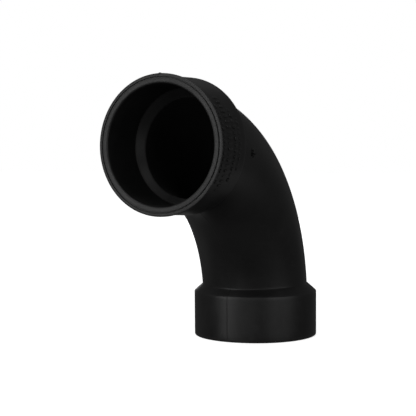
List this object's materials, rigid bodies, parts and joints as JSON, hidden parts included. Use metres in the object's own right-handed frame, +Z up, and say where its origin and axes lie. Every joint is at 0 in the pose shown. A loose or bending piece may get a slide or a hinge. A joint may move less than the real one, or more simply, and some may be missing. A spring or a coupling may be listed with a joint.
{
  "type": "drain pipe elbow",
  "caption": "Hub-by-hub long-sweep quarter bend for 3 inch drain pipe, one black ABS moulding with a solvent-weld socket at each end.",
  "frame": {"origin": "centre of the lower hub's mouth, on that socket's axis", "axes": "+Z runs up the lower socket's axis into the fitting, the bend leans towards -Y so that the upper mouth faces about -Y, and X is square to the mirror plane x = 0"},
  "size_m": [0.1032, 0.2082, 0.2105],
  "materials": {
    "black_abs": "semi-gloss moulded black ABS, fine mould texture, faint scuffs"
  },
  "bodies": {
    "root": {"lower_hub": "black_abs", "sweep_bend": "black_abs", "upper_hub": "black_abs"}
  },
  "joints": []
}
